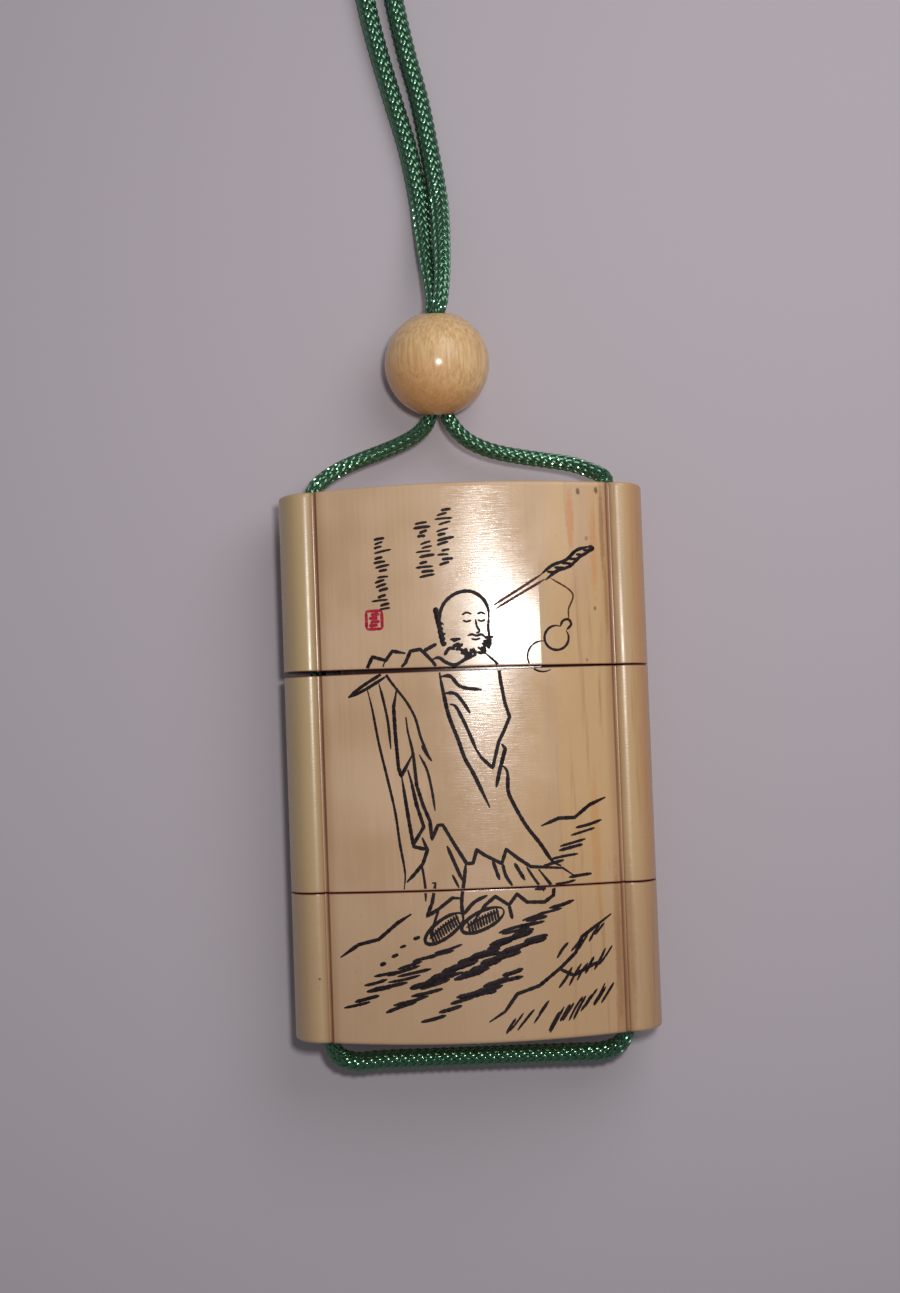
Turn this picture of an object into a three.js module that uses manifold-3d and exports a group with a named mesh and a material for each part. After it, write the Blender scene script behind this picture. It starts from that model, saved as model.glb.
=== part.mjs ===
// A three-part inro: a flat bone box worn on a cord, lying on its back.
// Millimetres, +Z up. The case's front faces up, its lid end points along +Y,
// and the origin is on the ground under the middle of the case.

import * as THREE from 'three';
import { mergeVertices } from 'three/addons/utils/BufferGeometryUtils.js';
import Module from 'manifold-3d';

const wasm = await Module();
wasm.setup();

// Case, outside
const lidLength = 26.9;
const middleLength = 31.3;
const bottomLength = 21.8;
const seamGap = 0.3;
const caseWidth = 53.5;
const caseThickness = 20;
const ribWidth = 5.2; // from the side of the case to the groove
const ribCrestFromGroove = 1.55;
const ribInnerDrop = 0.54; // from the top of a rib down to the groove's outer edge
const grooveWidth = 0.65;
const grooveDepth = 0.9;
const panelRise = 3.4; // how far the front bulges between the grooves
const endDome = 0.55; // how far both ends bulge in plan
const restFlatWidth = 9; // flat strip on the back that the case lies on

// Case, inside
const wall = 1.7; // around the sockets that take the risers
const riserClearance = 0.3;
const riserWall = 1.2;
const riserHeight = 9;
const endWall = 3;
const floorThickness = 2.5;
const cornerRadius = 2.2; // inside corners of the hollows

// Cord channels in the ribs
const channelInset = 4.95; // from the side of the case to the middle of a channel
const channelDiameter = 3.5;
const channelWall = 1.3; // between a channel and the hollow

// Bead
const beadDiameter = 15.6;
const beadBore = 5.9;
const beadX = -2.6;
const beadY = 59.2;

// Cord: its solid is as thin as the braid is where the bead and the channels press it
const cordSolidDiameter = 2.5;
const cordGap = 0.3;
const pairSpacing = 2.9; // between the two strands, from middle to middle, inside the bead
const cordFloorZ = 1.55; // height of a strand's middle where it lies on the ground
const loopDrop = 3.75; // from the bottom of the case to the middle of the loop under it
const loopZ = 8.2;

// Coil of spare cord, and the knot inside it
const coilX = 8.1;
const coilY = 144.6;
const coilOuterRadius = 22.5;
const coilInnerRadius = 10.6;
const coilHeight = 3.1;
const knotRadius = 4.5;
const knotHeight = 6.6;
const knotAngle = 118; // degrees, seen from the middle of the coil
const tailStart = 2.7; // from the middle of the knot
const tailLength = 7.5;
const tailSpread = 32; // degrees between the two tails

// Facets
const panelSteps = 24;
const ribSteps = 9;
const ribInnerSteps = 3;
const domeSteps = 20;
const cornerSteps = 4;
const roundSides = 16;
const cordSides = 8;
const beadSides = 32;
const beadRings = 16;
const coilSides = 48;
const edgeSteps = 4; // round the inner and the outer edge of the coil

// Values worked out from the sizes above
const caseLength = lidLength + middleLength + bottomLength;
const topY = caseLength / 2;
const lidSeamY = topY - lidLength;
const bottomSeamY = lidSeamY - middleLength;
const panelHalfWidth = caseWidth / 2 - ribWidth - grooveWidth;
const panelRadius = (panelHalfWidth ** 2 + panelRise ** 2) / (2 * panelRise);
const restCut = panelRadius - Math.sqrt(panelRadius ** 2 - (restFlatWidth / 2) ** 2);
const halfThickness = (caseThickness + restCut) / 2;
const middleZ = caseThickness - halfThickness;
const ribCrestZ = halfThickness - panelRise;
const ribCrestInset = ribWidth - ribCrestFromGroove;
const ribCrestX = caseWidth / 2 - ribCrestInset;
const grooveX = panelHalfWidth + grooveWidth / 2;
const channelX = caseWidth / 2 - channelInset;
const riserHalfWidth = channelX - channelDiameter / 2 - channelWall - riserClearance;
const socketHalfWidth = riserHalfWidth + riserClearance;
const hollowHalfWidth = riserHalfWidth - riserWall;
const riserInset = wall + riserClearance;
const hollowInset = riserInset + riserWall;
const beadRadius = beadDiameter / 2;

const solidOf = (geometry) => {
  const bare = geometry.index ? geometry.clone() : geometry;
  bare.deleteAttribute('normal');
  bare.deleteAttribute('uv');
  const merged = mergeVertices(bare, 1e-4);
  return new wasm.Manifold(new wasm.Mesh({
    numProp: 3,
    vertProperties: new Float32Array(merged.attributes.position.array),
    triVerts: new Uint32Array(merged.index.array),
  }));
};

const geometryOf = (solid) => {
  const mesh = solid.getMesh();
  const geometry = new THREE.BufferGeometry();
  geometry.setAttribute('position', new THREE.BufferAttribute(mesh.vertProperties, 3));
  geometry.setIndex(new THREE.BufferAttribute(mesh.triVerts, 1));
  geometry.computeVertexNormals();
  return geometry;
};

// A cross-section in X and Z, carried along Y from one end to the other.
const prism = (outline, fromY, toY) => {
  const geometry = new THREE.ExtrudeGeometry(new THREE.Shape(outline), {
    depth: toY - fromY,
    bevelEnabled: false,
    steps: 1,
  });
  geometry.rotateX(Math.PI / 2);
  geometry.translate(0, toY, middleZ);
  return solidOf(geometry);
};

// Height of the front panel over the middle of the case, for a surface that lies deeper by inset.
const panelHeight = (x, inset = 0) => {
  const radius = panelRadius - inset;
  return halfThickness - inset - radius + Math.sqrt(radius ** 2 - x ** 2);
};

// Right half of the front: the panel's arc, the groove, and the rib round to the side.
const frontRightOutline = () => {
  const points = [];
  for (let i = 0; i < panelSteps / 2; i += 1) {
    const x = (panelHalfWidth * i) / (panelSteps / 2);
    points.push(new THREE.Vector2(x, panelHeight(x)));
  }
  points.push(new THREE.Vector2(panelHalfWidth, panelHeight(panelHalfWidth)));
  points.push(new THREE.Vector2(grooveX, panelHeight(panelHalfWidth) - grooveDepth));
  for (let i = 0; i < ribInnerSteps; i += 1) {
    const turn = (Math.PI / 2) * (i / ribInnerSteps);
    points.push(new THREE.Vector2(
      ribCrestX - ribCrestFromGroove * Math.cos(turn),
      ribCrestZ - ribInnerDrop * (1 - Math.sin(turn)),
    ));
  }
  for (let i = 0; i <= ribSteps; i += 1) {
    const turn = (Math.PI / 2) * (i / ribSteps);
    points.push(new THREE.Vector2(
      ribCrestX + ribCrestInset * Math.sin(turn),
      ribCrestZ * Math.cos(turn),
    ));
  }
  return points;
};

const caseOutline = () => {
  const quarter = frontRightOutline();
  const lowerRight = quarter.slice(0, -1).reverse().map((p) => new THREE.Vector2(p.x, -p.y));
  const right = [...quarter, ...lowerRight];
  const left = right.slice(1, -1).reverse().map((p) => new THREE.Vector2(-p.x, p.y));
  return [...right, ...left].reverse();
};

// A hollow's cross-section: it follows the panels at a depth, with round corners at its sides.
const hollowOutline = (halfWidth, inset) => {
  const quarter = [];
  const cornerX = halfWidth - cornerRadius;
  const arcSteps = panelSteps / 4;
  for (let i = 0; i < arcSteps; i += 1) {
    const x = (cornerX * i) / arcSteps;
    quarter.push(new THREE.Vector2(x, panelHeight(x, inset)));
  }
  const cornerZ = panelHeight(cornerX, inset) - cornerRadius;
  for (let i = 0; i <= cornerSteps; i += 1) {
    const turn = (Math.PI / 2) * (i / cornerSteps);
    quarter.push(new THREE.Vector2(
      cornerX + cornerRadius * Math.sin(turn),
      cornerZ + cornerRadius * Math.cos(turn),
    ));
  }
  const lowerRight = [...quarter].reverse().map((p) => new THREE.Vector2(p.x, -p.y));
  const right = [...quarter, ...lowerRight];
  const left = right.slice(1, -1).reverse().map((p) => new THREE.Vector2(-p.x, p.y));
  return [...right, ...left].reverse();
};

// How far a cut or a cutter runs past the face that it opens
const overrun = 2;

// The whole outside as one block, with its ends bulged in plan and its back cut flat to lie on.
const outerBlock = () => {
  const side = caseWidth / 2 + overrun;
  const plan = [];
  for (let i = 0; i <= domeSteps; i += 1) {
    const x = side * (1 - (2 * i) / domeSteps);
    const share = (2 * x) / caseWidth;
    plan.push(new THREE.Vector2(x, topY - endDome * share ** 2));
  }
  const lower = [...plan].reverse().map((p) => new THREE.Vector2(p.x, -p.y));
  const planGeometry = new THREE.ExtrudeGeometry(new THREE.Shape([...plan, ...lower]), {
    depth: caseThickness + overrun,
    bevelEnabled: false,
    steps: 1,
  });
  const profile = prism(caseOutline(), -topY - overrun, topY + overrun);
  return profile.intersect(solidOf(planGeometry));
};

const slab = (fromY, toY) => {
  const width = caseWidth + 2 * overrun;
  const box = new THREE.BoxGeometry(width, toY - fromY, caseThickness + 2 * overrun);
  box.translate(0, (fromY + toY) / 2, caseThickness / 2);
  return solidOf(box);
};

const channels = () => {
  const length = caseLength + 2 * overrun;
  const make = (side) => {
    const radius = channelDiameter / 2;
    const bore = new THREE.CylinderGeometry(radius, radius, length, roundSides);
    bore.translate(side * channelX, 0, middleZ);
    return solidOf(bore);
  };
  return make(-1).add(make(1));
};

const riser = (seamY) => {
  const root = 1; // how deep the riser is let into its own section, to be one solid with it
  return prism(hollowOutline(riserHalfWidth, riserInset), seamY - root, seamY + riserHeight);
};
const hollow = (fromY, toY) => prism(hollowOutline(hollowHalfWidth, hollowInset), fromY, toY);
const socket = (fromY, toY) => prism(hollowOutline(socketHalfWidth, wall), fromY, toY);

const block = outerBlock();
const cordChannels = channels();

// The lid: one socket from its mouth up to its end wall.
const lidSolid = () => {
  const mouthY = lidSeamY + seamGap / 2;
  return block.intersect(slab(mouthY, topY + overrun))
    .subtract(socket(mouthY - overrun, topY - endWall))
    .subtract(cordChannels);
};

// The middle case: a riser into the lid, a hollow down to its floor, a socket below the floor.
const middleSolid = () => {
  const mouthY = lidSeamY - seamGap / 2;
  const baseY = bottomSeamY + seamGap / 2;
  const socketTopY = bottomSeamY + riserHeight + riserClearance;
  return block.intersect(slab(baseY, mouthY))
    .add(riser(mouthY))
    .subtract(hollow(socketTopY + floorThickness, mouthY + riserHeight + overrun))
    .subtract(socket(baseY - overrun, socketTopY))
    .subtract(cordChannels);
};

// The bottom case: a riser into the middle case and a hollow down to its end wall.
const bottomSolid = () => {
  const mouthY = bottomSeamY - seamGap / 2;
  return block.intersect(slab(-topY - overrun, mouthY))
    .add(riser(mouthY))
    .subtract(hollow(-topY + endWall, mouthY + riserHeight + overrun))
    .subtract(cordChannels);
};

// A ball with a bore along Y.
const beadGeometry = () => {
  const boreRadius = beadBore / 2;
  const halfBore = Math.sqrt(beadRadius ** 2 - boreRadius ** 2);
  const startTurn = Math.asin(boreRadius / beadRadius);
  const profile = [new THREE.Vector2(boreRadius, -halfBore)];
  for (let i = 1; i < beadRings; i += 1) {
    const turn = startTurn + ((Math.PI - 2 * startTurn) * i) / beadRings;
    profile.push(new THREE.Vector2(beadRadius * Math.sin(turn), -beadRadius * Math.cos(turn)));
  }
  profile.push(new THREE.Vector2(boreRadius, halfBore));
  profile.push(profile[0].clone());
  return new THREE.LatheGeometry(profile, beadSides);
};

// A cord's route steps from one of its hand-placed points to the next, so that
// bends, where the points are close, get short steps.
class CordRoute extends THREE.CatmullRomCurve3 {
  constructor(points) {
    super(points.map((p) => new THREE.Vector3(...p)), false, 'centripetal');
  }

  getUtoTmapping(u) {
    return u;
  }
}

const cordTube = (points) => {
  const section = new THREE.Shape();
  section.absarc(0, 0, cordSolidDiameter / 2, 0, 2 * Math.PI, false);
  return new THREE.ExtrudeGeometry(section, {
    extrudePath: new CordRoute(points),
    steps: points.length - 1,
    curveSegments: cordSides,
    bevelEnabled: false,
  });
};

// The held stretch: down the left channel, slack under the bottom, up the right channel.
const heldRoute = [
  [-channelX, topY - 0.6, middleZ],
  [-channelX, 14, middleZ],
  [-channelX, -14, middleZ],
  [-channelX, -topY + 1.6, middleZ],
  [-21.6, -topY - 0.7, 9.8],
  [-20.5, -topY - 2.6, 9.3],
  [-18.2, -topY - 3.5, 8.8],
  [-14.5, -topY - loopDrop, 8.4],
  [-7, -topY - loopDrop, loopZ],
  [0, -topY - loopDrop, loopZ],
  [7, -topY - loopDrop, loopZ],
  [14.5, -topY - loopDrop, 8.4],
  [18.2, -topY - 3.3, 8.8],
  [20.5, -topY - 2.3, 9.3],
  [21.6, -topY - 0.5, 9.8],
  [channelX, -topY + 1.6, middleZ],
  [channelX, -14, middleZ],
  [channelX, 14, middleZ],
  [channelX, topY - 0.6, middleZ],
];

// Free strands: from a channel's mouth down to the bead, through it, along the ground to the coil.
const leftRoute = [
  [-channelX, topY - 0.2, 9.9],
  [-21.5, 42.1, 9.4],
  [-20.0, 43.5, 8.6],
  [-17.2, 44.5, 7.4],
  [-13.4, 45.8, 6.4],
  [-9.4, 47.3, 6.3],
  [-5.9, 49.3, 7.1],
  [-4.15, 51.7, 7.75],
  [beadX - pairSpacing / 2, 54.6, 7.8],
  [-3.9, 59.2, 7.2],
  [-3.5, 63.8, 6.7],
  [-3.3, 67.6, 6.3],
  [-3.6, 72.5, 4.4],
  [-4.6, 78.5, 2.2],
  [-5.8, 85.0, cordFloorZ],
  [-7.0, 92.5, cordFloorZ],
  [-8.1, 100.4, cordFloorZ],
  [-9.3, 107.8, cordFloorZ],
  [-10.6, 115.4, cordFloorZ],
  [-11.8, 123.0, cordFloorZ],
  [-12.7, 131.0, cordFloorZ],
  [-13.0, 139.0, cordFloorZ],
];
const rightRoute = [
  [channelX, topY - 0.2, 9.9],
  [21.6, 41.8, 9.4],
  [20.4, 43.1, 8.7],
  [17.8, 44.1, 7.5],
  [14.1, 44.9, 6.5],
  [9.3, 45.7, 6.1],
  [4.8, 46.8, 6.3],
  [1.1, 48.7, 7.0],
  [-1.05, 51.7, 7.75],
  [beadX + pairSpacing / 2, 54.6, 7.8],
  [-1.3, 59.2, 8.4],
  [-1.7, 63.8, 8.9],
  [-1.9, 67.6, 9.2],
  [-1.8, 72.5, 7.6],
  [-1.6, 78.5, 4.2],
  [-2.1, 85.0, 2.1],
  [-2.9, 92.5, cordFloorZ],
  [-3.9, 100.4, cordFloorZ],
  [-5.0, 107.8, cordFloorZ],
  [-6.3, 115.4, cordFloorZ],
  [-7.7, 123.0, cordFloorZ],
  [-9.0, 131.0, cordFloorZ],
];

// A free strand ends against the side of the coil.
const freeStrand = (points) => {
  const radius = coilOuterRadius + cordGap;
  const cutter = new THREE.CylinderGeometry(radius, radius, beadDiameter, coilSides);
  cutter.rotateX(Math.PI / 2);
  cutter.translate(coilX, coilY, 0);
  return solidOf(cordTube(points)).subtract(solidOf(cutter));
};

// The coil's outer shape: a flat ring with rounded edges.
const coilGeometry = () => {
  const edge = coilHeight / 2;
  const profile = [];
  for (let i = 0; i <= edgeSteps; i += 1) {
    const turn = Math.PI * (i / edgeSteps);
    profile.push(new THREE.Vector2(
      coilOuterRadius - edge + edge * Math.sin(turn),
      edge - edge * Math.cos(turn),
    ));
  }
  for (let i = 0; i <= edgeSteps; i += 1) {
    const turn = Math.PI * (i / edgeSteps);
    profile.push(new THREE.Vector2(
      coilInnerRadius + edge - edge * Math.sin(turn),
      edge + edge * Math.cos(turn),
    ));
  }
  profile.push(profile[0].clone());
  const geometry = new THREE.LatheGeometry(profile, coilSides);
  geometry.rotateX(Math.PI / 2);
  return geometry;
};

// The knot: a flattened ball with the two short ends of the cord beside it.
const knotSolid = () => {
  const radians = THREE.MathUtils.degToRad;
  const reach = coilInnerRadius - cordGap - knotRadius;
  const x = coilX + reach * Math.cos(radians(knotAngle));
  const y = coilY + reach * Math.sin(radians(knotAngle));
  const ball = new THREE.SphereGeometry(knotRadius, roundSides, roundSides / 2);
  ball.rotateX(Math.PI / 2);
  ball.scale(1, 1, knotHeight / (2 * knotRadius));
  ball.translate(x, y, knotHeight / 2);
  const tail = (side) => {
    const radius = cordSolidDiameter / 2;
    const end = new THREE.CylinderGeometry(radius, radius, tailLength, cordSides);
    end.translate(0, -tailLength / 2 - tailStart, 0);
    end.rotateZ(radians(side * tailSpread / 2 + knotAngle - 90));
    end.translate(x, y, cordFloorZ);
    return solidOf(end);
  };
  return solidOf(ball).add(tail(-1)).add(tail(1));
};

const bone = { color: 0xc9ab7f, roughness: 0.32, metalness: 0 };
const braid = { color: 0x14562f, roughness: 0.6, metalness: 0 };

const piece = (name, geometry, look) => {
  const mesh = new THREE.Mesh(geometry, new THREE.MeshStandardMaterial(look));
  mesh.name = name;
  return mesh;
};

const bead = piece('ojime_bead', beadGeometry(), bone);
bead.position.set(beadX, beadY, beadRadius);

const coil = piece('cord_coil', coilGeometry(), braid);
coil.position.set(coilX, coilY, 0);

const inro = new THREE.Group();
inro.add(
  piece('lid', geometryOf(lidSolid()), bone),
  piece('middle_case', geometryOf(middleSolid()), bone),
  piece('bottom_case', geometryOf(bottomSolid()), bone),
  bead,
  piece('cord_through_case', cordTube(heldRoute), braid),
  piece('cord_left', geometryOf(freeStrand(leftRoute)), braid),
  piece('cord_right', geometryOf(freeStrand(rightRoute)), braid),
  coil,
  piece('cord_knot', geometryOf(knotSolid()), braid),
);

export default inro;
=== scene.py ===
import math
import random

import bpy
import numpy as np
from mathutils import Euler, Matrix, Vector


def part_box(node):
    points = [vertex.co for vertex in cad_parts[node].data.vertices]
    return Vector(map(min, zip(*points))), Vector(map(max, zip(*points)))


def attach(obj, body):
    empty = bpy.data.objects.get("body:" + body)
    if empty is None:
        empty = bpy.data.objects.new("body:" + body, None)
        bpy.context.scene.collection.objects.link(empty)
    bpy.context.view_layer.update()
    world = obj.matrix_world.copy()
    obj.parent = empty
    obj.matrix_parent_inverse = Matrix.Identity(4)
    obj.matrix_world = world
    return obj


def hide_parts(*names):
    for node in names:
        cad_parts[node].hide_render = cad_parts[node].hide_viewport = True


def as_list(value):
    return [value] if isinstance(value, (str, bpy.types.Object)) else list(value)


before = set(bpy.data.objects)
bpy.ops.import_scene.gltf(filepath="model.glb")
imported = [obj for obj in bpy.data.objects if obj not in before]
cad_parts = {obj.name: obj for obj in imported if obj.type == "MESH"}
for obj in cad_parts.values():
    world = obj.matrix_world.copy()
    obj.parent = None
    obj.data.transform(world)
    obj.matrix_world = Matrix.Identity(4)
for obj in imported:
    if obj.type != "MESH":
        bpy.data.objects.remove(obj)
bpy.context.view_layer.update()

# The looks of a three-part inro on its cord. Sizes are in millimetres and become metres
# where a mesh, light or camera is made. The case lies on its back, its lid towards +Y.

MM = 0.001
IMAGE_HEIGHT = 1293


def node_box(name):
    low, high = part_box(name)
    return np.array(low) / MM, np.array(high) / MM


# Sizes read from the frame
LID_LOW, LID_HIGH = node_box("lid")
MIDDLE_LOW, MIDDLE_HIGH = node_box("middle_case")
BEAD_LOW, BEAD_HIGH = node_box("ojime_bead")
COIL_LOW, COIL_HIGH = node_box("cord_coil")
CASE_WIDTH = LID_HIGH[0] - LID_LOW[0]
CASE_THICKNESS = LID_HIGH[2] - LID_LOW[2]
TOP_Y = LID_HIGH[1]

# Sizes of the case that repeat the solids'
SEAM_GAP = 0.3
LID_AJAR = 0.6  # how much wider the gap under the lid is at its left side
SEEN_GAP = 0.14  # the seams close tighter than the solids, which keep a working gap
RIB_WIDTH = 5.2
RIB_CREST_FROM_GROOVE = 1.25
RIB_INNER_DROP = 0.54
GROOVE_WIDTH = 0.65
GROOVE_DEPTH = 0.58
PANEL_RISE = 3.4
END_DOME = 0.55
REST_FLAT_WIDTH = 9
WALL = 1.7
RISER_CLEARANCE = 0.3
RISER_WALL = 1.2
RISER_HEIGHT = 9
RISER_ROOT = 1
END_WALL = 3
FLOOR_THICKNESS = 2.5
CORNER_RADIUS = 2.2
CHANNEL_INSET = 4.95
CHANNEL_DIAMETER = 3.5
CHANNEL_WALL = 1.3

# Worked out from them
SEAM_1 = LID_LOW[1] - SEAM_GAP / 2
SEAM_2 = MIDDLE_LOW[1] - SEAM_GAP / 2
PANEL_HALF = CASE_WIDTH / 2 - RIB_WIDTH - GROOVE_WIDTH
PANEL_RADIUS = (PANEL_HALF ** 2 + PANEL_RISE ** 2) / (2 * PANEL_RISE)
REST_CUT = PANEL_RADIUS - math.sqrt(PANEL_RADIUS ** 2 - (REST_FLAT_WIDTH / 2) ** 2)
HALF_THICKNESS = (CASE_THICKNESS + REST_CUT) / 2
MIDDLE_Z = CASE_THICKNESS - HALF_THICKNESS
RIB_CREST_Z = HALF_THICKNESS - PANEL_RISE
RIB_CREST_INSET = RIB_WIDTH - RIB_CREST_FROM_GROOVE
RIB_CREST_X = CASE_WIDTH / 2 - RIB_CREST_INSET
GROOVE_X = PANEL_HALF + GROOVE_WIDTH / 2
CHANNEL_X = CASE_WIDTH / 2 - CHANNEL_INSET
RISER_HALF = CHANNEL_X - CHANNEL_DIAMETER / 2 - CHANNEL_WALL - RISER_CLEARANCE
BEAD_X = (BEAD_LOW[0] + BEAD_HIGH[0]) / 2
BEAD_Y = (BEAD_LOW[1] + BEAD_HIGH[1]) / 2
BEAD_RADIUS = (BEAD_HIGH[2] - BEAD_LOW[2]) / 2
COIL_X = (COIL_LOW[0] + COIL_HIGH[0]) / 2
COIL_Y = (COIL_LOW[1] + COIL_HIGH[1]) / 2

# Camera, nearly straight down
CAMERA_PLACE = (-5.7, 3.7, 321.5)
CAMERA_TURN = (2.44, -0.55, -2.10)
CAMERA_FOCAL_PIXELS = 2115
SENSOR_HEIGHT = 36


def new_object(name, data):
    """An object with a mesh, light or camera, put in the scene."""
    item = bpy.data.objects.new(name, data)
    bpy.context.scene.collection.objects.link(item)
    return item


def make_camera():
    data = bpy.data.cameras.new("photo_camera")
    data.sensor_fit = "VERTICAL"
    data.sensor_height = SENSOR_HEIGHT
    data.lens = CAMERA_FOCAL_PIXELS * SENSOR_HEIGHT / IMAGE_HEIGHT
    data.clip_start = 0.01
    camera = new_object("photo_camera", data)
    camera.location = [v * MM for v in CAMERA_PLACE]
    camera.rotation_euler = Euler([math.radians(v) for v in CAMERA_TURN], "XYZ")
    bpy.context.scene.camera = camera


make_camera()


# Materials

class Nodes:
    """A material's node tree, with its Principled shader and short ways to add nodes."""

    def __init__(self, name):
        self.material = bpy.data.materials.new(name)
        self.material.use_nodes = True
        self.tree = self.material.node_tree
        self.shader = self.tree.nodes["Principled BSDF"]

    def put(self, socket, value):
        if isinstance(value, bpy.types.NodeSocket):
            self.tree.links.new(value, socket)
        else:
            socket.default_value = value

    def add(self, kind, inputs, **settings):
        node = self.tree.nodes.new("ShaderNode" + kind)
        for key, value in settings.items():
            setattr(node, key, value)
        for key, value in inputs.items():
            self.put(node.inputs[key], value)
        return node

    def math(self, operation, a, b=0.0):
        return self.add("Math", {0: a, 1: b}, operation=operation).outputs[0]

    def plus(self, a, b):
        return self.math("ADD", a, b)

    def minus(self, a, b):
        return self.math("SUBTRACT", a, b)

    def times(self, a, b):
        return self.math("MULTIPLY", a, b)

    def place(self):
        """The point on the object, in millimetres."""
        point = self.add("TexCoord", {}).outputs["Object"]
        return self.stretched(point, (1 / MM, 1 / MM, 1 / MM))

    def stretched(self, point, scale):
        return self.add("VectorMath", {0: point, 1: scale}, operation="MULTIPLY").outputs[0]

    def noise(self, point, scale, detail=3.0, roughness=0.5, distortion=0.0):
        if not isinstance(scale, (int, float)):
            point = self.stretched(point, scale)
            scale = 1.0
        node = self.add("TexNoise", {"Vector": point, "Scale": scale, "Detail": detail,
                                     "Roughness": roughness, "Distortion": distortion})
        return node.outputs["Fac"]

    def ramp(self, value, low, high, to_low=0.0, to_high=1.0):
        node = self.add("MapRange", {"Value": value, "From Min": low, "From Max": high,
                                     "To Min": to_low, "To Max": to_high})
        node.interpolation_type = "SMOOTHSTEP"
        return node.outputs["Result"]

    def mix(self, factor, a, b):
        node = self.add("Mix", {}, data_type="RGBA")
        self.put(node.inputs[0], factor)
        self.put(node.inputs[6], a)
        self.put(node.inputs[7], b)
        return node.outputs[2]

    def bump(self, height, strength, distance, normal=None):
        node = self.add("Bump", {"Height": height, "Strength": strength,
                                 "Distance": distance * MM})
        if normal is not None:
            self.put(node.inputs["Normal"], normal)
        return node.outputs["Normal"]

    def finish(self, values):
        for key, value in values.items():
            self.put(self.shader.inputs[key], value)
        return self.material


def srgb(red, green, blue):
    """A picture's colour, 0 to 255, as the linear colour of a shader."""
    def linear(value):
        share = value / 255
        return share / 12.92 if share <= 0.04045 else ((share + 0.055) / 1.055) ** 2.4
    return linear(red), linear(green), linear(blue), 1.0


BONE_PALE = srgb(211, 178, 146)
BONE_MID = srgb(195, 160, 126)
BONE_WARM = srgb(208, 170, 124)
BONE_RIB = srgb(188, 162, 120)
BONE_RIGHT_SIDE = srgb(196, 144, 96)
BONE_PAINTED_SHADE_LOW = srgb(180, 146, 114)
BONE_STREAK = srgb(150, 100, 60)
BONE_SPECK = srgb(92, 56, 34)
BONE_GROOVE = srgb(124, 68, 48)
BONE_SEAM_STAIN_AND_SHADE = srgb(118, 50, 38)
BONE_GAP_PAINTED_SHADE = srgb(52, 26, 22)
BONE_ORANGE = srgb(205, 132, 70)

# Marks in the front: (x, y, half width, half length, colour, strength)
MARKS = [
    (16.9, 38.3, 0.26, 0.5, BONE_SPECK, 0.8),
    (19.6, 38.4, 0.24, 0.45, BONE_SPECK, 0.8),
    (17.9, 31.4, 0.2, 0.3, BONE_SPECK, 0.45),
    (17.3, 13.9, 0.2, 0.25, BONE_SPECK, 0.45),
    (18.8, 21.3, 0.2, 0.3, BONE_SPECK, 0.6),
    (15.6, 34.0, 0.5, 4.2, BONE_ORANGE, 0.65),
    (18.9, 30.0, 0.5, 6.0, BONE_ORANGE, 0.4),
    (17.6, -12.0, 0.6, 9.0, BONE_ORANGE, 0.35),
    (-22.7, -30.4, 0.17, 0.17, BONE_SPECK, 0.9),
    (20.2, 33.0, 0.3, 6.0, BONE_STREAK, 0.6),
    (20.5, 23.0, 0.25, 5.0, BONE_STREAK, 0.45),
    (20.3, -27.0, 0.5, 11.0, BONE_STREAK, 0.4),
    (22.4, -26.0, 0.4, 10.0, BONE_STREAK, 0.35),
]

# The front is a little flatter beside its middle. A stretch is (from x, to x, curvature that
# is taken off)
LID_FLAT = (-3.0, 10.7, 0.0102)
MIDDLE_FLAT = (0.0, 20.0, 0.0075)
MIDDLE_TILT = 0.014  # the middle section leans back a little


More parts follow.
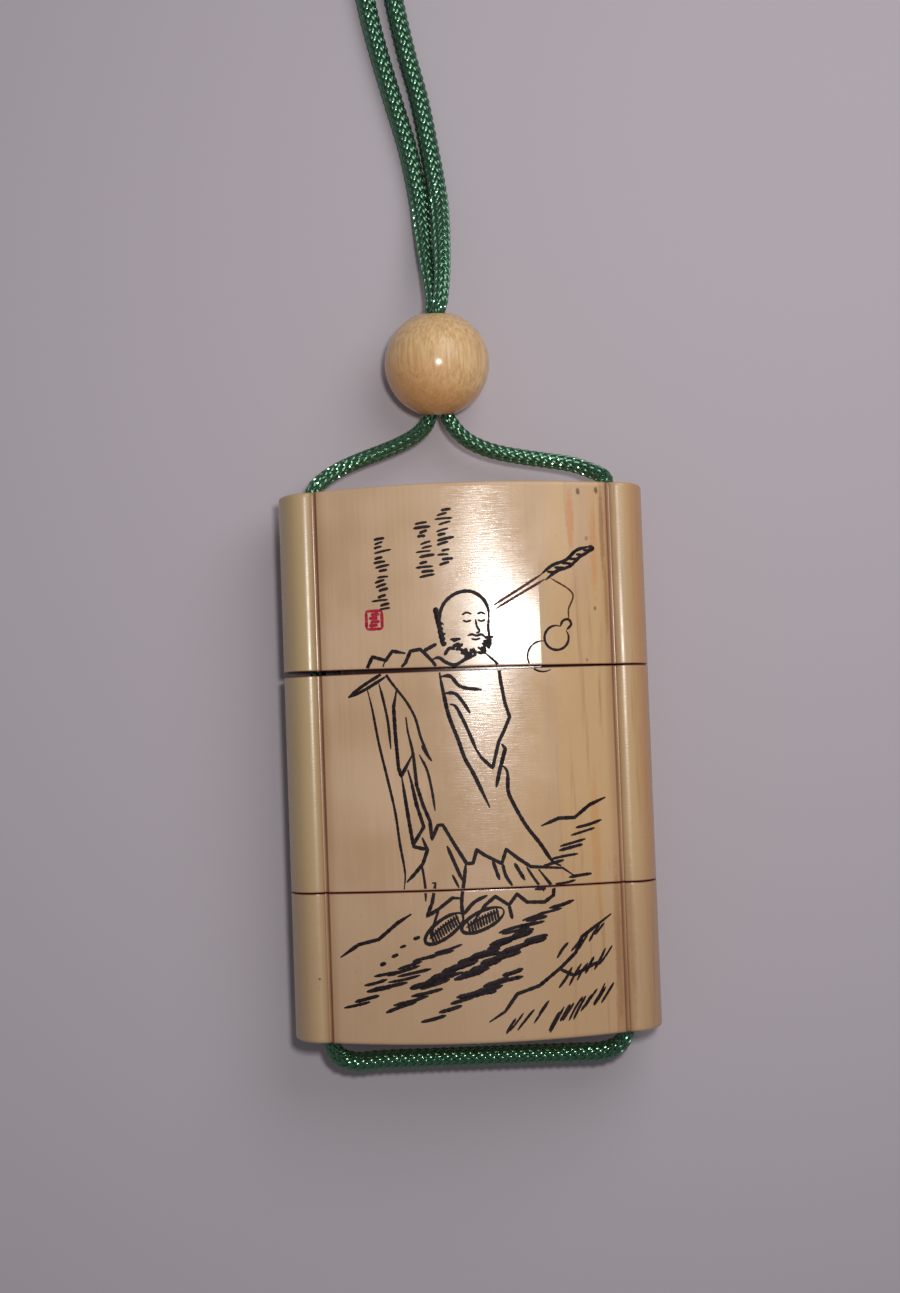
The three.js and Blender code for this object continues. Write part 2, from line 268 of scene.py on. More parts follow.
def bone_material():
    n = Nodes("polished_bone")
    point = n.place()
    x, y, z = n.add("SeparateXYZ", {0: point}).outputs
    side = n.math("ABSOLUTE", x)
    fine = n.noise(point, (2.0, 0.055, 2.0), 4.0, 0.6)
    broad = n.noise(point, (0.30, 0.02, 0.30), 2.0)
    patch = n.noise(point, 0.07, 2.0)
    tone = n.plus(n.times(fine, 0.22), n.times(patch, 0.78))
    color = n.mix(n.ramp(tone, 0.34, 0.64), BONE_MID, BONE_PALE)
    warm = n.times(n.ramp(x, -2.0, 16.0), n.ramp(broad, 0.3, 0.6, 0.2, 0.9))
    color = n.mix(warm, color, BONE_WARM)
    rib = n.ramp(side, GROOVE_X - 0.1, GROOVE_X + 0.4)
    rib_tint = n.times(rib, n.ramp(x, 3.0, -3.0, 0.35, 0.9))
    color = n.mix(rib_tint, color, BONE_RIB)
    color = n.mix(n.ramp(x, 23.4, 25.6, 0.0, 0.9), color, BONE_RIGHT_SIDE)
    # Darker towards the lower end: painted shade, standing in for light that falls off down the case.
    color = n.mix(n.ramp(y, -4.0, -32.0, 0.0, 0.55), color, BONE_PAINTED_SHADE_LOW)
    streak_shape = n.noise(point, (1.1, 0.05, 1.1), 3.0, 0.55, 0.4)
    streaks = n.times(n.ramp(streak_shape, 0.52, 0.78), n.ramp(x, 8.0, 19.0, 0.0, 0.55))
    color = n.mix(streaks, color, BONE_STREAK)
    pore_shape = n.noise(point, (5.5, 0.9, 5.5), 2.0, 0.5)
    pores = n.times(n.ramp(pore_shape, 0.70, 0.78), n.ramp(patch, 0.42, 0.62, 0.1, 0.7))
    color = n.mix(pores, color, BONE_STREAK)
    uneven = n.noise(point, 1.6, 3.0)
    for mark_x, mark_y, half_width, half_length, mark_color, strength in MARKS:
        off_x = n.math("DIVIDE", n.minus(x, mark_x), half_width)
        off_y = n.math("DIVIDE", n.minus(y, mark_y), half_length)
        away = n.math("SQRT", n.plus(n.math("POWER", off_x, 2.0), n.math("POWER", off_y, 2.0)))
        away = n.plus(away, n.times(n.minus(uneven, 0.5), 1.2))
        color = n.mix(n.ramp(away, 1.4, 0.6, 0.0, strength), color, mark_color)
    stain = n.times(n.ramp(side, PANEL_HALF - 1.6, PANEL_HALF + 0.2, 0.0, 0.4),
                    n.ramp(side, PANEL_HALF + 1.8, PANEL_HALF + 0.4))
    color = n.mix(stain, color, BONE_STREAK)
    inner_edge = n.ramp(side, PANEL_HALF - 0.12, PANEL_HALF + 0.08)
    outer_edge = n.ramp(side, PANEL_HALF + GROOVE_WIDTH - 0.02, PANEL_HALF + GROOVE_WIDTH - 0.25)
    wander = n.noise(point, (0.3, 0.12, 0.3), 3.0)
    groove = n.times(n.times(inner_edge, outer_edge), n.ramp(wander, 0.25, 0.6, 0.6, 0.95))
    # The left groove is painted a little darker than the right: painted shade on the side away from the
    # light.
    groove = n.times(groove, n.ramp(x, -5.0, 5.0, 0.65, 0.6))
    color = n.mix(groove, color, BONE_GROOVE)
    ajar = n.times(n.minus(0.5, n.math("DIVIDE", x, float(CASE_WIDTH))), LID_AJAR / 2)
    # At each seam: a reddish-brown line that is partly the joint's own colour and partly painted shade,
    # and a near-black colour inside the gap that is painted shade.
    for seam, open_by in ((SEAM_1, ajar), (SEAM_2, 0.0)):
        away = n.math("ABSOLUTE", n.minus(n.minus(y, float(seam)), open_by))
        away = n.minus(away, open_by)
        edge = SEEN_GAP / 2
        color = n.mix(n.ramp(away, edge + 0.22, edge + 0.02, 0.0, 0.95), color, BONE_SEAM_STAIN_AND_SHADE)
        color = n.mix(n.ramp(away, edge + 0.04, edge - 0.02, 0.0, 0.95), color, BONE_GAP_PAINTED_SHADE)
    gloss = n.ramp(n.noise(point, 0.35, 4.0, 0.6), 0.3, 0.7, 0.15, 0.21)
    gloss = n.plus(gloss, n.times(rib, 0.09))
    gloss = n.ramp(groove, 0.05, 0.4, gloss, 0.7)
    flatter = n.times(n.math("MINIMUM", n.minus(y, float(SEAM_1)), 0.0), MIDDLE_TILT)
    for (low, high, curve), lid in ((LID_FLAT, 1.0), (MIDDLE_FLAT, 0.0)):
        into = n.math("MINIMUM", n.math("MAXIMUM", n.minus(x, low), 0.0), high - low)
        height = n.times(n.math("POWER", into, 2.0), curve / 2)
        height = n.times(height, n.ramp(y, 40.0, 20.0, 0.45, 1.0))
        here = n.math("GREATER_THAN", y, float(SEAM_1))
        if not lid:
            here = n.minus(1.0, here)
        flatter = n.plus(flatter, n.times(height, here))
    scratch = n.noise(point, (0.4, 6.0, 0.4), 3.0, 0.6, 0.3)
    normal = n.bump(flatter, 1.0, 1.0)
    normal = n.bump(scratch, 0.5, 0.02, normal)
    normal = n.bump(fine, 0.04, 0.02, normal)
    return n.finish({"Base Color": color, "Roughness": gloss, "Normal": normal, "IOR": 1.54})


def bead_material():
    n = Nodes("bead_bone")
    point = n.place()
    x, y, z = n.add("SeparateXYZ", {0: point}).outputs
    grain = n.noise(point, (2.0, 0.14, 2.0), 4.0, 0.6, 0.25)
    dash = n.noise(point, (5.0, 0.45, 5.0), 3.0, 0.55, 0.1)
    color = n.mix(n.ramp(grain, 0.3, 0.7), srgb(208, 164, 112), srgb(236, 200, 150))
    # Darker and more orange towards the lower left: partly the bead's own tone, partly painted shade on
    # the side turned from the light.
    low_left_tone_and_shade = n.plus(n.times(n.minus(x, BEAD_X), 0.5), n.minus(y, BEAD_Y))
    color = n.mix(n.ramp(low_left_tone_and_shade, 1.0, -7.0, 0.0, 0.7), color, srgb(206, 144, 86))
    color = n.mix(n.ramp(dash, 0.54, 0.72, 0.0, 0.5), color, srgb(164, 116, 72))
    gloss = n.ramp(dash, 0.3, 0.7, 0.17, 0.24)
    return n.finish({"Base Color": color, "Roughness": gloss, "IOR": 1.54,
                     "Normal": n.bump(dash, 0.10, 0.02)})


def ink_material(name, dark, light):
    n = Nodes(name)
    point = n.place()
    mottle = n.noise(point, 2.2, 4.0, 0.6)
    color = n.mix(n.ramp(mottle, 0.35, 0.7), dark, light)
    return n.finish({"Base Color": color, "Roughness": n.ramp(mottle, 0.3, 0.7, 0.45, 0.6),
                     "Specular IOR Level": 0.15, "Normal": n.bump(n.noise(point, 9.0, 2.0), 0.3, 0.03)})


def cord_material():
    n = Nodes("braided_nylon")
    point = n.place()
    tone = n.noise(point, 1.3, 3.0)
    lint = n.noise(point, 0.35, 2.0)
    color = n.mix(n.ramp(tone, 0.3, 0.7), srgb(24, 30, 23), srgb(32, 42, 33))
    color = n.mix(n.ramp(lint, 0.45, 0.8, 0.0, 0.3), color, srgb(40, 56, 46))
    return n.finish({"Base Color": color, "Roughness": n.ramp(tone, 0.3, 0.7, 0.14, 0.21),
                     "IOR": 2.1, "Specular IOR Level": 1.0,
                     "Specular Tint": (0.45, 1.0, 0.64, 1.0)})


BONE = bone_material()
BEAD_BONE = bead_material()
INK = ink_material("engraving_ink", srgb(24, 16, 21), srgb(48, 33, 38))
INK_BROWN = ink_material("engraving_ink_brown", srgb(74, 38, 34), srgb(112, 66, 54))
SEAL_RED = ink_material("seal_red", srgb(158, 24, 48), srgb(186, 54, 76))
CORD = cord_material()


# Mesh helpers

# Edges that bend by more than this, in degrees, stay sharp
BONE_EDGE = 38
BEAD_EDGE = 50
STROKE_EDGE = 40
YARN_EDGE = 42


def mesh_from(name, points, faces):
    mesh = bpy.data.meshes.new(name)
    mesh.from_pydata([tuple(p) for p in np.asarray(points, float) * MM], [], faces)
    mesh.update()
    return mesh


def add_piece(name, mesh, material, sharp_angle=None):
    """A finished piece of the object: smooth, with its material, riding on the body."""
    mesh.shade_smooth()
    if sharp_angle is not None:
        mesh.set_sharp_from_angle(angle=math.radians(sharp_angle))
    mesh.materials.clear()
    mesh.materials.append(material)
    item = new_object(name, mesh)
    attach(item, "root")
    return item


def grid_faces(rows, columns, offset=0, wrap_rows=False):
    """Quads of a tube whose rings of points are stored one after another."""
    faces = []
    for row in range(rows if wrap_rows else rows - 1):
        below = offset + row * columns
        above = offset + ((row + 1) % rows) * columns
        for column in range(columns):
            after = (column + 1) % columns
            faces.append((below + column, below + after, above + after, above + column))
    return faces


# Cord

CORD_RADIUS = 1.5
PRESSED_RADIUS = 1.2
BEAD_PRESSED_RADIUS = 1.05
FREED_BY = (9.0, 26.0)  # beyond the bead's middle the braid swells to its own thickness
FLOOR_Z = 1.55
BORE_RADIUS = 2.1  # as narrow as the pressed braid leaves it
BORE_TILT = 10  # degrees, the lower end down
BORE_PAIR = 2.1  # from one strand's middle to the other's
BORE_X = -2.6
LOOP_DROP = 3.45
LOOP_Z = 8.2
TURN_RADIUS = 21.0
TURN_DRAW_IN = 6.3
TURN_DEGREES = 370
STRAND_STEP = 3.05
KNOT_CENTRE = (5.38, 149.72)
KNOT_CORD_RADIUS = 1.35

# Where the cord goes down the left channel, under the bottom and up the right channel
CHANNEL_STOPS = (TOP_Y - 0.6, 14, -14, -TOP_Y + 1.6)
LOOP_STOPS = ((-14.5, 8.4), (-7, LOOP_Z), (0, LOOP_Z), (7, LOOP_Z), (14.5, 8.4))
HELD_POINTS = (
    [(-CHANNEL_X, y, MIDDLE_Z) for y in CHANNEL_STOPS]
    + [(-21.6, -TOP_Y - 0.7, 9.8), (-20.5, -TOP_Y - 2.6, 9.3), (-18.2, -TOP_Y - 3.5, 8.8)]
    + [(x, -TOP_Y - LOOP_DROP, z) for x, z in LOOP_STOPS]
    + [(18.2, -TOP_Y - 3.3, 8.8), (20.5, -TOP_Y - 2.3, 9.3), (21.6, -TOP_Y - 0.5, 9.8)]
    + [(CHANNEL_X, y, MIDDLE_Z) for y in reversed(CHANNEL_STOPS)]
)
LEFT_POINTS = [
    (-CHANNEL_X, TOP_Y - 0.6, 10.0), (-21.5, 40.8, 9.4), (-20.4, 42.05, 8.7), (-19.0, 43.15, 7.9),
    (-16.9, 44.35, 7.1), (-13.9, 45.6, 6.5), (-10.8, 46.7, 6.3), (-8.5, 47.6, 6.4), (-6.4, 48.65, 6.6),
    (-4.95, 49.8, 6.65), (-4.15, 51.0, 6.7), (BORE_X - BORE_PAIR / 2, 52.4, 6.8),
    (BORE_X - BORE_PAIR / 2, 55.0, 7.1), (-3.45, 59.2, 7.35), (-3.2, 63.0, 7.55), (-3.08, 66.8, 7.95),
    (-2.85, 68.6, 7.3), (-3.2, 73.0, 5.7), (-3.7, 77.2, 4.2), (-4.05, 81.4, 2.8), (-4.42, 85.5, 1.9),
    (-5.77, 93.4, FLOOR_Z), (-7.8, 101.2, FLOOR_Z), (-9.6, 108.2, FLOOR_Z), (-11.0, 114.5, FLOOR_Z),
    (-12.2, 122.0, FLOOR_Z), (-12.9, 130.5, FLOOR_Z), (-13.1, 138.5, FLOOR_Z),
]
RIGHT_POINTS = [
    (CHANNEL_X, TOP_Y - 0.6, 10.0), (21.55, 41.2, 9.0), (19.9, 42.3, 8.0), (17.2, 43.5, 7.0),
    (13.65, 44.3, 6.4), (10.1, 44.95, 6.2), (6.6, 45.7, 6.1), (4.1, 46.5, 6.2), (1.8, 47.65, 6.4),
    (0.1, 49.15, 6.6), (-1.05, 50.9, 6.7), (BORE_X + BORE_PAIR / 2, 52.4, 6.8),
    (BORE_X + BORE_PAIR / 2, 55.0, 7.3), (-1.75, 59.2, 8.4), (-2.0, 63.0, 9.2), (-2.1, 66.8, 9.8),
    (-1.75, 68.6, 9.5), (-1.3, 73.0, 7.9), (-1.2, 77.2, 6.0), (-1.25, 81.4, 4.2), (-1.45, 85.5, 2.7),
    (-2.48, 93.2, 1.7), (-3.8, 101.1, FLOOR_Z), (-5.45, 108.1, FLOOR_Z), (-6.7, 114.4, FLOOR_Z),
    (-8.0, 122.0, FLOOR_Z), (-9.1, 130.5, FLOOR_Z), (-9.7, 138.5, FLOOR_Z),
]
LEFT_INTO_KNOT = [
    (-5.6, 151.0, FLOOR_Z), (-2.6, 154.6, FLOOR_Z), (1.6, 156.4, FLOOR_Z), (5.9, 155.8, 1.9),
    (8.2, 153.0, 2.6), (7.6, 150.6, 3.3),
]
RIGHT_INTO_KNOT = [
    (-2.6, 149.7, FLOOR_Z), (-0.2, 152.4, FLOOR_Z), (3.0, 153.3, 1.9), (5.2, 152.0, 2.6),
    (5.4, 150.4, 3.3),
]


def coil_turn(start_radius):
    """One turn of the coil, clockwise from its left side, drawing in evenly as it goes round."""
    points = []
    steps = 20
    for i in range(steps + 1):
        share = i / steps
        angle = math.radians(180 - TURN_DEGREES * share)
        radius = start_radius - TURN_DRAW_IN * share
        points.append((COIL_X + radius * math.cos(angle), COIL_Y + radius * math.sin(angle), FLOOR_Z))
    return points


def smooth_line(points, step):
    """A centripetal Catmull-Rom curve through the points. step gives the spacing at a place."""
    p = [np.array(q, float) for q in points]
    p = [2 * p[0] - p[1]] + p + [2 * p[-1] - p[-2]]
    fine_steps = 40
    dense = []
    for a, b, c, d in zip(p, p[1:], p[2:], p[3:]):
        t1 = np.linalg.norm(b - a) ** 0.5
        t2 = t1 + np.linalg.norm(c - b) ** 0.5
        t3 = t2 + np.linalg.norm(d - c) ** 0.5
        for t in np.linspace(t1, t2, fine_steps, endpoint=False):
            ab = (t1 - t) / t1 * a + t / t1 * b
            bc = (t2 - t) / (t2 - t1) * b + (t - t1) / (t2 - t1) * c
            cd = (t3 - t) / (t3 - t2) * c + (t - t2) / (t3 - t2) * d
            abc = (t2 - t) / t2 * ab + t / t2 * bc
            bcd = (t3 - t) / (t3 - t1) * bc + (t - t1) / (t3 - t1) * cd
            dense.append((t2 - t) / (t2 - t1) * abc + (t - t1) / (t2 - t1) * bcd)
    dense.append(p[-2])
    dense = np.array(dense)
    reached = np.concatenate([[0], np.cumsum(np.linalg.norm(np.diff(dense, axis=0), axis=1))])
    steps_taken = np.concatenate([[0], np.cumsum(np.diff(reached) / [step(q) for q in dense[1:]])])
    count = int(round(steps_taken[-1])) + 1
    even = np.interp(np.linspace(0, steps_taken[-1], count), steps_taken, reached)
    return np.stack([np.interp(even, reached, dense[:, k]) for k in range(3)], axis=1)


def run_of(line):
    """Distance along a line to each of its points."""
    return np.concatenate([[0], np.cumsum(np.linalg.norm(np.diff(line, axis=0), axis=1))])


def unit_rows(rows):
    """Each row of an array, made one long."""
    return rows / np.linalg.norm(rows, axis=1)[:, None]


def frames_along(line):
    """Two steady cross directions at each point of a line."""
    tangent = unit_rows(np.gradient(line, axis=0))
    normal = np.empty_like(tangent)
    before = np.array([0.12, 0.1, 1.0])
    for i, heading in enumerate(tangent):
        carried = before - heading * (before @ heading)
        before = carried / np.linalg.norm(carried)
        normal[i] = before
    return normal, np.cross(tangent, normal)


YARNS_EACH_WAY = 12
BRAID_LEAD = 15.0
YARN_HALF_WIDTH = 0.31
YARN_HALF_THICKNESS = 0.16
YARN_WAVE = 0.2
# Corners of a flat yarn's section, as shares of its half width and half thickness
YARN_SECTION = [(-0.8, 0.4), (0.0, 1.0), (0.8, 0.4), (1.0, -0.7), (-1.0, -0.7)]
CORE_SHARE = 0.58
CORE_SIDES = 12
CORE_SECTION = [(math.sin(2 * math.pi * i / CORE_SIDES), math.cos(2 * math.pi * i / CORE_SIDES))
                for i in range(CORE_SIDES)]


def sweep(core, beside, out, half_width, half_thickness, section, offset):
    """Points and faces of a closed rod with a given section."""
    ring = [core + beside * (half_width * wide)[:, None] + out * (half_thickness * thick)[:, None]
            for wide, thick in section]
    sides = len(section)
    points = np.stack(ring, axis=1).reshape(-1, 3)
    faces = grid_faces(len(core), sides, offset)
    last = offset + (len(core) - 1) * sides
    faces.append(tuple(offset + s for s in reversed(range(sides))))
    faces.append(tuple(last + s for s in range(sides)))
    return points, faces


def braid_mesh(name, line, radius):
    """Yarns wound both ways round a core, each over two and under two of the others."""
    normal, across = frames_along(line)
    along = run_of(line)
    scale = radius / CORD_RADIUS
    points, faces = sweep(line, -across, normal, radius * CORE_SHARE, radius * CORE_SHARE,
                          CORE_SECTION, 0)
    points = [points]
    offset = len(points[0])
    for way in (1, -1):
        for yarn in range(YARNS_EACH_WAY):
            turn = 2 * math.pi * (yarn / YARNS_EACH_WAY + way * along / BRAID_LEAD)
            crossing = 2 * yarn + way * 2 * YARNS_EACH_WAY * along / BRAID_LEAD
            wave = way * YARN_WAVE * np.cos(math.pi / 2 * crossing - math.pi / 4)
            middle = (CORD_RADIUS - YARN_HALF_THICKNESS - YARN_WAVE + wave) * scale
            out = normal * np.cos(turn)[:, None] + across * np.sin(turn)[:, None]
            core = line + out * middle[:, None]
            heading = unit_rows(np.gradient(core, axis=0))
            beside = unit_rows(np.cross(heading, out))
            some, more = sweep(core, beside, np.cross(beside, heading), YARN_HALF_WIDTH * scale,
                               YARN_HALF_THICKNESS * scale, YARN_SECTION, offset)
            points.append(some)
            faces += more
            offset += len(some)
    return mesh_from(name, np.concatenate(points), faces)


def smooth_step(value, low, high):
    share = min(1.0, max(0.0, (value - low) / (high - low)))
    return share * share * (3 - 2 * share)


def pressed_radius(line):
    """The braid is thinner where the bead and the channels press it, and where it is drawn taut."""
    radius = []
    for x, y, z in line:
        if y < -TOP_Y + 5 or abs(x) > CHANNEL_X - 3:
            freed = smooth_step(abs(y) - TOP_Y, 0.5, 4.0) if y < 0 else 0.0
            radius.append(PRESSED_RADIUS + (CORD_RADIUS - PRESSED_RADIUS) * freed)
            continue
        from_bead = abs(y - BEAD_Y) - BEAD_RADIUS
        eased = smooth_step(from_bead, -0.8, 1.2)
        taut = BEAD_PRESSED_RADIUS + (PRESSED_RADIUS - BEAD_PRESSED_RADIUS) * eased
        radius.append(taut + (CORD_RADIUS - PRESSED_RADIUS) * smooth_step(y - BEAD_Y, *FREED_BY))
    return np.array(radius)


SEEN_STEP = 0.27
UNSEEN_STEP = 0.45
SEEN_UP_TO = 120


def free_step(point):
    return SEEN_STEP if point[1] < SEEN_UP_TO else UNSEEN_STEP


def held_step(point):
    return SEEN_STEP if point[1] < -TOP_Y + 3 else UNSEEN_STEP


def make_cord(name, points, step, node):
    line = smooth_line(points, step)
    piece = add_piece(name, braid_mesh(name, line, pressed_radius(line)), CORD, YARN_EDGE)
    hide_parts(node)
    return piece, line * MM


def knot_points():
    """A tight overhand knot: the cord crosses itself three times."""
    size = 1.05
    lift = 1.75
    start, turned = -12, 384
    steps = 36
    points = []
    for i in range(steps + 1):
        t = math.radians(start + turned * i / steps)
        points.append((
            KNOT_CENTRE[0] + size * (math.sin(t) + 2 * math.sin(2 * t)),
            KNOT_CENTRE[1] + size * (math.cos(t) - 2 * math.cos(2 * t)),
            KNOT_CORD_RADIUS + lift + 0.15 - lift * math.sin(3 * t),
        ))
    return points


def tail_points(side):
    """A cut end that leaves the knot and drops to the ground. side is -1 or 1."""
    middle, spread = 28, 16
    turn = math.radians(middle + side * spread)
    heading = np.array([math.sin(turn), -math.cos(turn)])
    points = []
    for reach in (0.8, 3.2, 5.6, 8.0, 10.2):
        drop = smooth_step(reach, 0.5, 5.0)
        points.append((KNOT_CENTRE[0] + heading[0] * reach, KNOT_CENTRE[1] + heading[1] * reach,
                       2.8 - (2.8 - FLOOR_Z) * drop))
    return points


def rounded_end(line, radius, length=1.3):
    left = run_of(line)[-1] - run_of(line)
    share = np.clip(1 - left / length, 0, 0.97)
    return radius * np.sqrt(1 - share ** 2)


left_cord, left_path = make_cord(
    "cord_left_braid", LEFT_POINTS + coil_turn(TURN_RADIUS) + LEFT_INTO_KNOT, free_step, "cord_left")
right_cord, right_path = make_cord(
    "cord_right_braid", RIGHT_POINTS + coil_turn(TURN_RADIUS - STRAND_STEP) + RIGHT_INTO_KNOT,
    free_step, "cord_right")
held_cord, held_path = make_cord("cord_loop_braid", HELD_POINTS, held_step, "cord_through_case")
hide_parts("cord_coil")

knot_line = smooth_line(knot_points(), lambda p: 0.3)
knot_mesh = braid_mesh("cord_knot_braid", knot_line, np.full(len(knot_line), KNOT_CORD_RADIUS))
knot = add_piece("cord_knot_braid", knot_mesh, CORD, YARN_EDGE)
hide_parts("cord_knot")
tails = []
for tail_name, tail_side in (("cord_end_a", -1), ("cord_end_b", 1)):
    tail_line = smooth_line(tail_points(tail_side), lambda p: 0.25)
    tail_mesh = braid_mesh(tail_name, tail_line, rounded_end(tail_line, KNOT_CORD_RADIUS))
    tails.append(add_piece(tail_name, tail_mesh, CORD, YARN_EDGE))


# Bead

BEAD_TURNS = 128
BEAD_RINGS = 64
BEAD_RIM = 0.18


def bead_mesh():
    start = math.asin((BORE_RADIUS + BEAD_RIM) / BEAD_RADIUS)
    edge = BEAD_RADIUS * math.cos(start)
    outer = []
    for i in range(BEAD_RINGS + 1):
        turn = start + (math.pi - 2 * start) * i / BEAD_RINGS
        outer.append((BEAD_RADIUS * math.sin(turn), -BEAD_RADIUS * math.cos(turn)))
    rim = []
    rim_steps = 6
    for i in range(1, rim_steps + 1):
        t = i / rim_steps
        away, turned, into = (1 - t) ** 2, 2 * t * (1 - t), t * t
        rim.append((away * (BORE_RADIUS + BEAD_RIM) + turned * (BORE_RADIUS + 0.03) + into * BORE_RADIUS,
                    away * edge + turned * (edge + 0.06) + into * (edge - 0.4)))
    inside = [(BORE_RADIUS, (edge - 0.4) * (1 - k / 4)) for k in range(1, 8)]
    profile = outer + rim + inside + [(r, -h) for r, h in reversed(rim)]
    cos, sin = math.cos(math.radians(BORE_TILT)), math.sin(math.radians(BORE_TILT))
    points = []
    for radius, height in profile:
        for k in range(BEAD_TURNS):
            angle = 2 * math.pi * k / BEAD_TURNS
            up = radius * math.cos(angle)
            points.append((BEAD_X + radius * math.sin(angle), BEAD_Y + height * cos - up * sin,
                           BEAD_RADIUS + up * cos + height * sin))
    return mesh_from("bead", points, grid_faces(len(profile), BEAD_TURNS, 0, True))


bead = add_piece("bead", bead_mesh(), BEAD_BONE, BEAD_EDGE)
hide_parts("ojime_bead")

for cord_piece, cord_path, far_end, with_pieces in (
    (left_cord, left_path, "knot", [bead, knot] + tails),
    (right_cord, right_path, "knot", []),
    (held_cord, held_path, "object", []),
):
    round(float(run_of(cord_path)[-1]), 4)
    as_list(with_pieces)


# Case sections

PANEL_STEPS = 72
RIB_STEPS = 20
RIB_INNER_STEPS = 6
HOLLOW_STEPS = 40
CORNER_STEPS = 12
CHANNEL_SIDES = 48
MOUTH_EDGE = 0.08
END_EDGE = 0.4
EDGE_STEPS = 4
EDGE_SUPPORT = 0.3
BODY_RINGS = 9
OVERRUN = 2


def panel_height(x, inset=0.0):
    radius = PANEL_RADIUS - inset
    return HALF_THICKNESS - inset - radius + math.sqrt(radius ** 2 - x ** 2)


def mirrored(quarter):
    """A quarter's (x, z, x direction, z direction) rows mirrored down and across, as a loop."""
    quarter = np.array(quarter, float)
    lower_right = quarter[-2::-1] * [1, -1, 1, -1]
    right = np.concatenate([quarter, lower_right])
    return np.concatenate([right, right[-2:0:-1] * [-1, 1, -1, 1]])


def case_outline():
    """The outside's section. A row is a point and the direction from which its ends are rounded."""
    rows = []
    for i in range(PANEL_STEPS + 1):
        x = PANEL_HALF * i / PANEL_STEPS
        rows.append((x, panel_height(x), 0, 1))
    rows.append((PANEL_HALF + 0.16, RIB_CREST_Z - 0.5 * GROOVE_DEPTH, 0, 1))
    rows.append((GROOVE_X - 0.02, RIB_CREST_Z - GROOVE_DEPTH, 0, 1))
    rows.append((GROOVE_X + 0.12, RIB_CREST_Z - 0.96 * GROOVE_DEPTH, 0, 1))
    for i in range(RIB_INNER_STEPS):
        turn = math.pi / 2 * i / RIB_INNER_STEPS
        rows.append((RIB_CREST_X - RIB_CREST_FROM_GROOVE * math.cos(turn),
                     RIB_CREST_Z - RIB_INNER_DROP * (1 - math.sin(turn)), 0, 1))
    for i in range(RIB_STEPS + 1):
        turn = math.pi / 2 * i / RIB_STEPS
        out = Vector((math.sin(turn) * RIB_CREST_Z, math.cos(turn) * RIB_CREST_INSET)).normalized()
        rows.append((RIB_CREST_X + RIB_CREST_INSET * math.sin(turn), RIB_CREST_Z * math.cos(turn),
                     out[0], out[1]))
    return mirrored(rows)


def hollow_outline(half_width, inset):
    corner_x = half_width - CORNER_RADIUS
    corner_z = panel_height(corner_x, inset) - CORNER_RADIUS
    rows = []
    for i in range(HOLLOW_STEPS):
        x = corner_x * i / HOLLOW_STEPS
        rows.append((x, panel_height(x, inset), 0, 0))
    for i in range(CORNER_STEPS + 1):
        turn = math.pi / 2 * i / CORNER_STEPS
        rows.append((corner_x + CORNER_RADIUS * math.sin(turn),
                     corner_z + CORNER_RADIUS * math.cos(turn), 0, 0))
    rows.append((half_width, 0, 0, 0))
    return mirrored(rows)[:, :2]


def channel_outline(side):
    turns = [2 * math.pi * i / CHANNEL_SIDES for i in range(CHANNEL_SIDES)]
    radius = CHANNEL_DIAMETER / 2
    return np.array([(side * CHANNEL_X + radius * math.sin(t), radius * math.cos(t)) for t in turns])


def edge_rings(end, edge, inward):
    """Where the rings of a rounded end lie, from its flat face to its side: (y, inset)."""
    rings = [(end, edge + EDGE_SUPPORT)]
    for i in range(EDGE_STEPS + 1):
        turn = math.pi / 2 * i / EDGE_STEPS
        rings.append((end + inward * edge * (1 - math.cos(turn)), edge * (1 - math.sin(turn))))
    return rings


def cap_faces(count, base, facing_low):
    """Faces across an end, each between the front and the back of the outline."""
    half = count // 2
    faces = []
    for i in range(half // 2):
        for quad in ((i, half - i, half - i - 1, i + 1),
                     ((count - i) % count, count - i - 1, half + i + 1, half + i)):
            corners = [base + corner for corner in dict.fromkeys(quad)]
            faces.append(tuple(corners if facing_low else reversed(corners)))
    return faces


def section_block(name, low_end, high_end, low_edge, high_edge):
    """The outside of one section as a closed block. An end is a function of x that gives its y."""
    loop = case_outline()
    low_y = np.array([low_end(x) for x in loop[:, 0]])
    high_y = np.array([high_end(x) for x in loop[:, 0]])
    start = low_y + low_edge + EDGE_SUPPORT
    stop = high_y - high_edge - EDGE_SUPPORT
    places = edge_rings(low_y, low_edge, 1)
    places += [(start + (stop - start) * share, 0.0) for share in np.linspace(0, 1, BODY_RINGS)]
    places += reversed(edge_rings(high_y, high_edge, -1))
    rings = []
    for y, inset in places:
        place = loop[:, :2] - loop[:, 2:] * inset
        heights = np.maximum(MIDDLE_Z + place[:, 1], inset)
        rings.append(np.stack([place[:, 0], y, heights], axis=1))
    count = len(loop)
    faces = grid_faces(len(rings), count)
    faces += cap_faces(count, 0, True)
    faces += cap_faces(count, (len(rings) - 1) * count, False)
    return new_object(name, mesh_from(name, np.concatenate(rings), faces))


def prism(outline, from_y, to_y):
    """A cutter or a riser: an outline carried straight along Y."""
    count = len(outline)
    rings = [np.stack([outline[:, 0], np.full(count, y), MIDDLE_Z + outline[:, 1]], axis=1)
             for y in (from_y, to_y)]
    faces = grid_faces(2, count)
    faces.append(tuple(reversed(range(count))))
    faces.append(tuple(range(count, 2 * count)))
    return new_object("prism", mesh_from("prism", np.concatenate(rings), faces))


